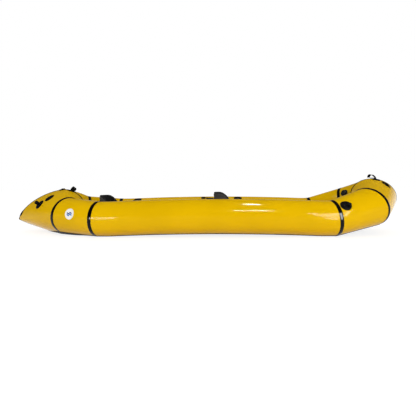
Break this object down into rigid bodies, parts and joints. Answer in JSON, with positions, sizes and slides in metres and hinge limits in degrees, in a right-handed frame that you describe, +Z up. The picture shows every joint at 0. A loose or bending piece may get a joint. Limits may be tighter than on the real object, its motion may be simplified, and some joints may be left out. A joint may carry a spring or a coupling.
{
  "type": "packraft",
  "caption": "Inflatable canoe-shaped packraft with yellow tubes, a black floor, inflated seats, padded backbands, a push-in valve and webbing tie-down loops.",
  "frame": {"origin": "centre of the bounding box, on the ground under the floor sheet", "axes": "+X towards the bow, +Y to the boat's left-hand side, +Z up"},
  "size_m": [3.4325, 0.9226, 0.5044],
  "materials": {
    "stern_center_right": "glossy coated fabric, bright yellow",
    "stern_center_left": "glossy coated fabric, bright yellow",
    "stern_quarter_right": "glossy coated fabric, bright yellow",
    "stern_quarter_left": "glossy coated fabric, bright yellow",
    "side_tube_right": "glossy coated fabric, bright yellow",
    "side_tube_left": "glossy coated fabric, bright yellow",
    "bow_quarter_right": "glossy coated fabric, bright yellow",
    "bow_quarter_left": "glossy coated fabric, bright yellow",
    "bow_center_right": "glossy coated fabric, bright yellow",
    "bow_center_left": "glossy coated fabric, bright yellow",
    "stern_joint_tape_right": "black coated seam tape, semi-gloss",
    "stern_joint_tape_left": "black coated seam tape, semi-gloss",
    "stern_bend_tape_right": "black coated seam tape, semi-gloss",
    "stern_bend_tape_left": "black coated seam tape, semi-gloss",
    "bow_bend_tape_right": "black coated seam tape, semi-gloss",
    "bow_bend_tape_left": "black coated seam tape, semi-gloss",
    "bow_joint_tape_right": "black coated seam tape, semi-gloss",
    "bow_joint_tape_left": "black coated seam tape, semi-gloss",
    "stern_center_tape": "black coated seam tape, semi-gloss",
    "bow_center_tape": "black coated seam tape, semi-gloss",
    "floor_sheet": "black heavy coated sheet, satin",
    "bow_front_patch_right": "black welded patch, satin",
    "bow_front_patch_left": "black welded patch, satin",
    "bow_quarter_patch_right": "black welded patch, satin",
    "bow_quarter_patch_left": "black welded patch, satin",
    "stern_fore_patch_right": "black welded patch, satin",
    "stern_fore_patch_left": "black welded patch, satin",
    "stern_aft_patch_right": "black welded patch, satin",
    "stern_aft_patch_left": "black welded patch, satin",
    "bow_top_patch": "black welded patch, satin",
    "stern_top_patch": "black welded patch, satin",
    "front_seat": "dark grey coated cloth over an air cushion",
    "rear_seat": "dark grey coated cloth over an air cushion",
    "front_fore_strap_right": "black woven webbing",
    "front_fore_strap_left": "black woven webbing",
    "front_aft_strap": "black woven webbing",
    "rear_fore_strap_right": "black woven webbing",
    "rear_fore_strap_left": "black woven webbing",
    "rear_aft_strap": "black woven webbing",
    "front_strap_anchor_right": "black welded patch, satin",
    "front_strap_anchor_left": "black welded patch, satin",
    "rear_strap_anchor_right": "black welded patch, satin",
    "rear_strap_anchor_left": "black welded patch, satin",
    "valve_base": "black moulded plastic",
    "bow_quarter_loop_right": "black woven webbing",
    "bow_quarter_loop_left": "black woven webbing",
    "stern_aft_loop_right": "black woven webbing",
    "stern_aft_loop_left": "black woven webbing",
    "bow_top_loop": "black woven webbing",
    "stern_top_loop": "black woven webbing",
    "front_backband": "charcoal ribbed padded cloth",
    "rear_backband": "charcoal ribbed padded cloth",
    "front_buckle_right": "black moulded plastic",
    "front_buckle_left": "black moulded plastic",
    "rear_buckle_right": "black moulded plastic",
    "rear_buckle_left": "black moulded plastic",
    "valve_poppet": "dark red moulded plastic",
    "valve_cap": "black moulded plastic",
    "front_seat_valve_knob": "black moulded plastic",
    "rear_seat_valve_knob": "black moulded plastic"
  },
  "bodies": {
    "hull": {"stern_center_right": "stern_center_right", "stern_center_left": "stern_center_left", "stern_quarter_right": "stern_quarter_right", "stern_quarter_left": "stern_quarter_left", "side_tube_right": "side_tube_right", "side_tube_left": "side_tube_left", "bow_quarter_right": "bow_quarter_right", "bow_quarter_left": "bow_quarter_left", "bow_center_right": "bow_center_right", "bow_center_left": "bow_center_left", "stern_joint_tape_right": "stern_joint_tape_right", "stern_joint_tape_left": "stern_joint_tape_left", "stern_bend_tape_right": "stern_bend_tape_right", "stern_bend_tape_left": "stern_bend_tape_left", "bow_bend_tape_right": "bow_bend_tape_right", "bow_bend_tape_left": "bow_bend_tape_left", "bow_joint_tape_right": "bow_joint_tape_right", "bow_joint_tape_left": "bow_joint_tape_left", "stern_center_tape": "stern_center_tape", "bow_center_tape": "bow_center_tape", "floor_sheet": "floor_sheet", "bow_front_patch_right": "bow_front_patch_right", "bow_front_patch_left": "bow_front_patch_left", "bow_quarter_patch_right": "bow_quarter_patch_right", "bow_quarter_patch_left": "bow_quarter_patch_left", "stern_fore_patch_right": "stern_fore_patch_right", "stern_fore_patch_left": "stern_fore_patch_left", "stern_aft_patch_right": "stern_aft_patch_right", "stern_aft_patch_left": "stern_aft_patch_left", "bow_top_patch": "bow_top_patch", "stern_top_patch": "stern_top_patch", "front_seat": "front_seat", "rear_seat": "rear_seat", "front_fore_strap_right": "front_fore_strap_right", "front_fore_strap_left": "front_fore_strap_left", "front_aft_strap": "front_aft_strap", "rear_fore_strap_right": "rear_fore_strap_right", "rear_fore_strap_left": "rear_fore_strap_left", "rear_aft_strap": "rear_aft_strap", "front_strap_anchor_right": "front_strap_anchor_right", "front_strap_anchor_left": "front_strap_anchor_left", "rear_strap_anchor_right": "rear_strap_anchor_right", "rear_strap_anchor_left": "rear_strap_anchor_left", "valve_base": "valve_base"},
    "bow_quarter_loop_right": {"bow_quarter_loop_right": "bow_quarter_loop_right"},
    "bow_quarter_loop_left": {"bow_quarter_loop_left": "bow_quarter_loop_left"},
    "stern_aft_loop_right": {"stern_aft_loop_right": "stern_aft_loop_right"},
    "stern_aft_loop_left": {"stern_aft_loop_left": "stern_aft_loop_left"},
    "bow_top_loop": {"bow_top_loop": "bow_top_loop"},
    "stern_top_loop": {"stern_top_loop": "stern_top_loop"},
    "front_backband": {"front_backband": "front_backband"},
    "rear_backband": {"rear_backband": "rear_backband"},
    "front_buckle_right": {"front_buckle_right": "front_buckle_right"},
    "front_buckle_left": {"front_buckle_left": "front_buckle_left"},
    "rear_buckle_right": {"rear_buckle_right": "rear_buckle_right"},
    "rear_buckle_left": {"rear_buckle_left": "rear_buckle_left"},
    "valve_poppet": {"valve_poppet": "valve_poppet"},
    "valve_cap": {"valve_cap": "valve_cap"},
    "front_seat_valve_knob": {"front_seat_valve_knob": "front_seat_valve_knob"},
    "rear_seat_valve_knob": {"rear_seat_valve_knob": "rear_seat_valve_knob"}
  },
  "joints": [
    {"name": "bow_quarter_loop_right_flop", "type": "hinge", "parent": "hull", "child": "bow_quarter_loop_right", "pos_m": [1.0947, -0.41726, 0.25631], "axis": [0.5064, 0.5489, 0.6651], "range_deg": [-105, 5], "stiffness_Nm_per_rad": 0.03},
    {"name": "bow_quarter_loop_left_flop", "type": "hinge", "parent": "hull", "child": "bow_quarter_loop_left", "pos_m": [1.0947, 0.41726, 0.25631], "axis": [-0.5064, 0.5489, -0.6651], "range_deg": [-105, 5], "stiffness_Nm_per_rad": 0.03},
    {"name": "stern_aft_loop_right_flop", "type": "hinge", "parent": "hull", "child": "stern_aft_loop_right", "pos_m": [-1.43727, -0.15065, 0.25625], "axis": [0.1747, 0.6371, 0.7507], "range_deg": [-49, 61], "stiffness_Nm_per_rad": 0.03},
    {"name": "stern_aft_loop_left_flop", "type": "hinge", "parent": "hull", "child": "stern_aft_loop_left", "pos_m": [-1.43727, 0.15065, 0.25625], "axis": [-0.1747, 0.6371, -0.7507], "range_deg": [-49, 61], "stiffness_Nm_per_rad": 0.03},
    {"name": "bow_top_loop_flop", "type": "hinge", "parent": "hull", "child": "bow_top_loop", "pos_m": [1.51772, 0, 0.47167], "axis": [0.9323, 0.342, -0.1177], "range_deg": [0, 120], "stiffness_Nm_per_rad": 0.03},
    {"name": "stern_top_loop_flop", "type": "hinge", "parent": "hull", "child": "stern_top_loop", "pos_m": [-1.21599, 0, 0.37708], "axis": [0.4213, 0.891, -0.1691], "range_deg": [-110, 0], "stiffness_Nm_per_rad": 0.03},
    {"name": "front_backband_fold", "type": "hinge", "parent": "hull", "child": "front_backband", "pos_m": [0.087, 0, 0.125], "axis": [0, 1, 0], "range_deg": [-20, 30], "deforming": ["front_fore_strap_right", "front_fore_strap_left", "front_aft_strap"]},
    {"name": "rear_backband_fold", "type": "hinge", "parent": "hull", "child": "rear_backband", "pos_m": [-0.942, 0, 0.125], "axis": [0, 1, 0], "range_deg": [-20, 30], "deforming": ["rear_fore_strap_right", "rear_fore_strap_left", "rear_aft_strap"]},
    {"name": "front_buckle_right_tilt", "type": "hinge", "parent": "hull", "child": "front_buckle_right", "pos_m": [0.3153, -0.25653, 0.28958], "axis": [0.8049, 0.528, -0.2709], "range_deg": [0, 50], "deforming": ["front_fore_strap_right"]},
    {"name": "front_buckle_left_tilt", "type": "hinge", "parent": "hull", "child": "front_buckle_left", "pos_m": [0.3153, 0.25653, 0.28958], "axis": [-0.8049, 0.528, 0.2709], "range_deg": [0, 50], "deforming": ["front_fore_strap_left"]},
    {"name": "rear_buckle_right_tilt", "type": "hinge", "parent": "hull", "child": "rear_buckle_right", "pos_m": [-0.67669, -0.25653, 0.27645], "axis": [0.6316, 0.7048, -0.3231], "range_deg": [0, 50], "deforming": ["rear_fore_strap_right"]},
    {"name": "rear_buckle_left_tilt", "type": "hinge", "parent": "hull", "child": "rear_buckle_left", "pos_m": [-0.67669, 0.25653, 0.27645], "axis": [-0.6316, 0.7048, 0.3231], "range_deg": [0, 50], "deforming": ["rear_fore_strap_left"]},
    {"name": "valve_cap_turn", "type": "hinge", "parent": "hull", "child": "valve_cap", "pos_m": [1.27578, 0.06262, 0.33426], "axis": [-0.9206, -0.2006, 0.3351], "range_deg": [0, 90]},
    {"name": "valve_poppet_push", "type": "slide", "parent": "hull", "child": "valve_poppet", "axis": [0.9206, 0.2006, -0.3351], "range_m": [0, 0.003], "stiffness_N_per_m": 300, "springref_m": -0.002},
    {"name": "front_seat_valve_knob_twist", "type": "hinge", "parent": "hull", "child": "front_seat_valve_knob", "pos_m": [0.4715, 0, 0.0469], "axis": [1, 0, 0], "range_deg": [0, 180]},
    {"name": "rear_seat_valve_knob_twist", "type": "hinge", "parent": "hull", "child": "rear_seat_valve_knob", "pos_m": [-0.5335, 0, 0.04099], "axis": [1, 0, 0], "range_deg": [0, 180]}
  ]
}
